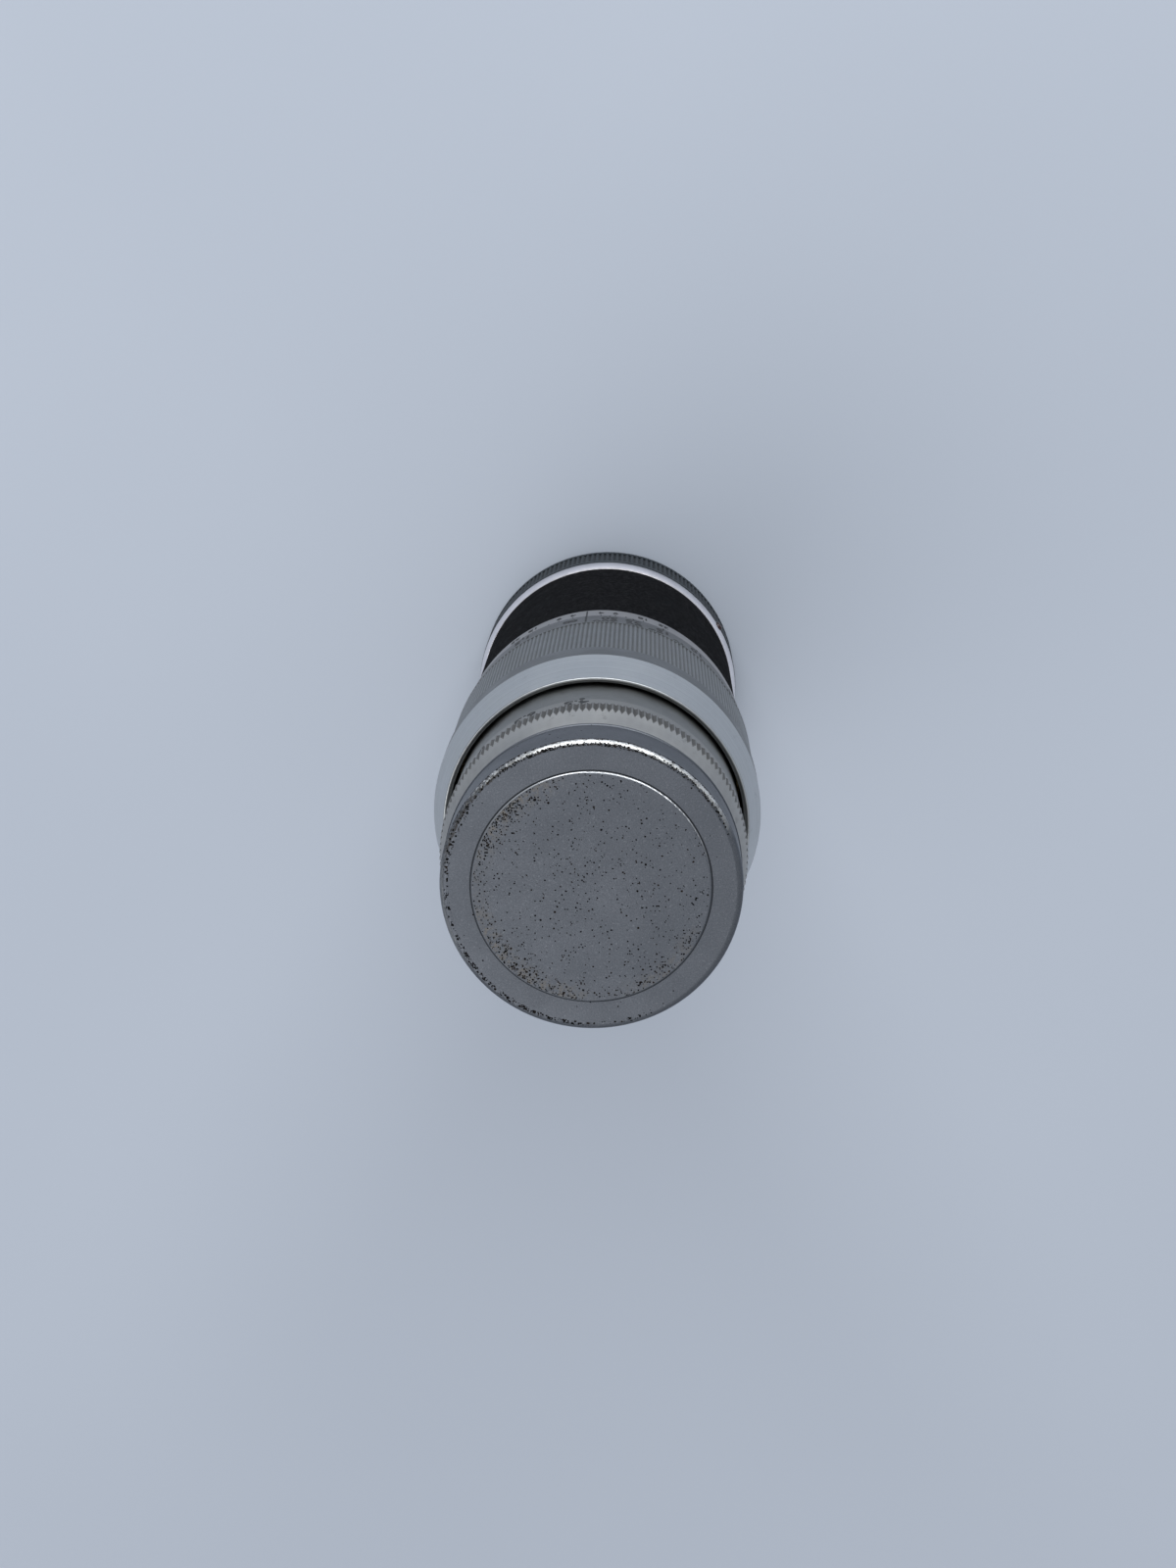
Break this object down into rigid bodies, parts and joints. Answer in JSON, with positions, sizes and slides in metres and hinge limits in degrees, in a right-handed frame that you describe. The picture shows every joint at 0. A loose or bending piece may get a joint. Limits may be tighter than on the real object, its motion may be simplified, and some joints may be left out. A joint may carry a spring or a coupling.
{
  "type": "rangefinder camera lens",
  "caption": "Long-focus camera lens with a knurled focusing grip, scale rings, iris, bayonet and two caps.",
  "frame": {"origin": "centre of the rear cap's base, on which the lens stands", "axes": "+Z along the optical axis towards the front, +Y towards the pictured side"},
  "size_m": [0.0526, 0.0526, 0.1421],
  "materials": {
    "barrel_aluminium": "satin",
    "vulcanite": "grained matte",
    "scale_satin_chrome": "satin chrome",
    "small_screws": "turned",
    "flange_chrome": "polished",
    "flange_screw_steel": "turned",
    "red_bead": "gloss",
    "inner_brass": "turned and greased",
    "inner_steel": "turned",
    "inner_black": "black anodised",
    "front_barrel_satin": "satin chrome",
    "bezel_satin": "satin chrome",
    "coated_glass": "coated",
    "bare_black_ring": "black anodised",
    "inner_glass": "polished",
    "grip_satin": "satin chrome, knurled",
    "distance_satin": "satin chrome",
    "aperture_satin": "satin chrome, grooved",
    "blade_steel": "blued",
    "cam_brass": "turned",
    "cap_metal": "satin anodised, pitted and worn on its edge",
    "cap_felt": "felt",
    "rear_cap_black": "moulded, ribbed"
  },
  "bodies": {
    "mount_barrel": {"rear_barrel": "barrel_aluminium", "grip_covering": "vulcanite", "depth_ring": "scale_satin_chrome", "depth_ring_screws": "small_screws", "bayonet_flange": "flange_chrome", "flange_screws": "flange_screw_steel", "mounting_bead": "red_bead", "guide_key": "inner_brass", "guide_key_screws": "inner_steel"},
    "lens_head": {"head_tube": "inner_black", "rear_baffle": "inner_black", "thrust_collar": "inner_brass", "front_barrel": "front_barrel_satin", "optic_barrel": "inner_black", "front_bezel": "bezel_satin", "front_cell": "inner_black", "front_lens": "coated_glass", "name_ring": "bare_black_ring", "middle_cell": "inner_black", "middle_rear_element": "inner_glass", "middle_front_element": "inner_glass", "middle_lens_ring": "inner_black", "rear_cell": "inner_black", "rear_lens": "inner_glass", "rear_lens_ring": "inner_black", "iris_base_ring": "inner_black", "iris_cover_ring": "inner_black"},
    "focus_ring": {"focus_grip": "grip_satin", "distance_ring": "distance_satin", "distance_ring_screws": "small_screws", "helicoid_sleeve": "inner_brass"},
    "aperture_ring": {"aperture_ring": "aperture_satin", "iris_cam_ring": "inner_brass", "aperture_drive_screw": "small_screws"},
    "rangefinder_cam": {"rangefinder_cam": "cam_brass"},
    "front_cap": {"front_cap": "cap_metal", "cap_liner": "cap_felt"},
    "rear_cap": {"rear_cap": "rear_cap_black"},
    "iris_blade_01": {"iris_blade_01": "blade_steel"},
    "iris_blade_02": {"iris_blade_02": "blade_steel"},
    "iris_blade_03": {"iris_blade_03": "blade_steel"},
    "iris_blade_04": {"iris_blade_04": "blade_steel"},
    "iris_blade_05": {"iris_blade_05": "blade_steel"},
    "iris_blade_06": {"iris_blade_06": "blade_steel"},
    "iris_blade_07": {"iris_blade_07": "blade_steel"},
    "iris_blade_08": {"iris_blade_08": "blade_steel"},
    "iris_blade_09": {"iris_blade_09": "blade_steel"},
    "iris_blade_10": {"iris_blade_10": "blade_steel"},
    "iris_blade_11": {"iris_blade_11": "blade_steel"},
    "iris_blade_12": {"iris_blade_12": "blade_steel"}
  },
  "joints": [
    {"name": "head_slide", "type": "slide", "parent": "mount_barrel", "child": "lens_head", "axis": [0, 0, 1], "range_m": [0, 0.0134]},
    {"name": "focus_turn", "type": "hinge", "parent": "lens_head", "child": "focus_ring", "pos_m": [0, 0, 0.09], "axis": [0, 0, 1], "range_deg": [0, 335]},
    {"name": "aperture_turn", "type": "hinge", "parent": "lens_head", "child": "aperture_ring", "pos_m": [0, 0, 0.12], "axis": [0, 0, -1], "range_deg": [0, 102]},
    {"name": "rangefinder_slide", "type": "slide", "parent": "mount_barrel", "child": "rangefinder_cam", "axis": [0, 0, 1], "range_m": [0, 0.0018]},
    {"name": "front_cap_pull", "type": "slide", "parent": "lens_head", "child": "front_cap", "axis": [0, 0, 1], "range_m": [0, 0.03]},
    {"name": "rear_cap_twist", "type": "hinge", "parent": "mount_barrel", "child": "rear_cap", "pos_m": [0, 0, 0.006], "axis": [0, 0, 1], "range_deg": [0, 45]},
    {"name": "iris_blade_01_turn", "type": "hinge", "parent": "lens_head", "child": "iris_blade_01", "pos_m": [-0.00117, -0.01786, 0.11888], "axis": [0, 0, -1], "range_deg": [0, 35.81]},
    {"name": "iris_blade_02_turn", "type": "hinge", "parent": "lens_head", "child": "iris_blade_02", "pos_m": [-0.00994, -0.01489, 0.11888], "axis": [0, 0, -1], "range_deg": [0, 35.81]},
    {"name": "iris_blade_03_turn", "type": "hinge", "parent": "lens_head", "child": "iris_blade_03", "pos_m": [-0.01605, -0.00792, 0.11888], "axis": [0, 0, -1], "range_deg": [0, 35.81]},
    {"name": "iris_blade_04_turn", "type": "hinge", "parent": "lens_head", "child": "iris_blade_04", "pos_m": [-0.01786, 0.00117, 0.11888], "axis": [0, 0, -1], "range_deg": [0, 35.81]},
    {"name": "iris_blade_05_turn", "type": "hinge", "parent": "lens_head", "child": "iris_blade_05", "pos_m": [-0.01489, 0.00994, 0.11888], "axis": [0, 0, -1], "range_deg": [0, 35.81]},
    {"name": "iris_blade_06_turn", "type": "hinge", "parent": "lens_head", "child": "iris_blade_06", "pos_m": [-0.00792, 0.01605, 0.11888], "axis": [0, 0, -1], "range_deg": [0, 35.81]},
    {"name": "iris_blade_07_turn", "type": "hinge", "parent": "lens_head", "child": "iris_blade_07", "pos_m": [0.00117, 0.01786, 0.11888], "axis": [0, 0, -1], "range_deg": [0, 35.81]},
    {"name": "iris_blade_08_turn", "type": "hinge", "parent": "lens_head", "child": "iris_blade_08", "pos_m": [0.00994, 0.01489, 0.11888], "axis": [0, 0, -1], "range_deg": [0, 35.81]},
    {"name": "iris_blade_09_turn", "type": "hinge", "parent": "lens_head", "child": "iris_blade_09", "pos_m": [0.01605, 0.00792, 0.11888], "axis": [0, 0, -1], "range_deg": [0, 35.81]},
    {"name": "iris_blade_10_turn", "type": "hinge", "parent": "lens_head", "child": "iris_blade_10", "pos_m": [0.01786, -0.00117, 0.11888], "axis": [0, 0, -1], "range_deg": [0, 35.81]},
    {"name": "iris_blade_11_turn", "type": "hinge", "parent": "lens_head", "child": "iris_blade_11", "pos_m": [0.01489, -0.00994, 0.11888], "axis": [0, 0, -1], "range_deg": [0, 35.81]},
    {"name": "iris_blade_12_turn", "type": "hinge", "parent": "lens_head", "child": "iris_blade_12", "pos_m": [0.00792, -0.01605, 0.11888], "axis": [0, 0, -1], "range_deg": [0, 35.81]}
  ],
  "couplings": [
    {"joint": "head_slide", "follows": "focus_turn", "m_per_rad": 0.0022918},
    {"joint": "rangefinder_slide", "follows": "focus_turn", "m_per_rad": 0.00030786},
    {"joint": "iris_blade_01_turn", "follows": "aperture_turn", "ratio": 0.35098},
    {"joint": "iris_blade_02_turn", "follows": "aperture_turn", "ratio": 0.35098},
    {"joint": "iris_blade_03_turn", "follows": "aperture_turn", "ratio": 0.35098},
    {"joint": "iris_blade_04_turn", "follows": "aperture_turn", "ratio": 0.35098},
    {"joint": "iris_blade_05_turn", "follows": "aperture_turn", "ratio": 0.35098},
    {"joint": "iris_blade_06_turn", "follows": "aperture_turn", "ratio": 0.35098},
    {"joint": "iris_blade_07_turn", "follows": "aperture_turn", "ratio": 0.35098},
    {"joint": "iris_blade_08_turn", "follows": "aperture_turn", "ratio": 0.35098},
    {"joint": "iris_blade_09_turn", "follows": "aperture_turn", "ratio": 0.35098},
    {"joint": "iris_blade_10_turn", "follows": "aperture_turn", "ratio": 0.35098},
    {"joint": "iris_blade_11_turn", "follows": "aperture_turn", "ratio": 0.35098},
    {"joint": "iris_blade_12_turn", "follows": "aperture_turn", "ratio": 0.35098}
  ]
}
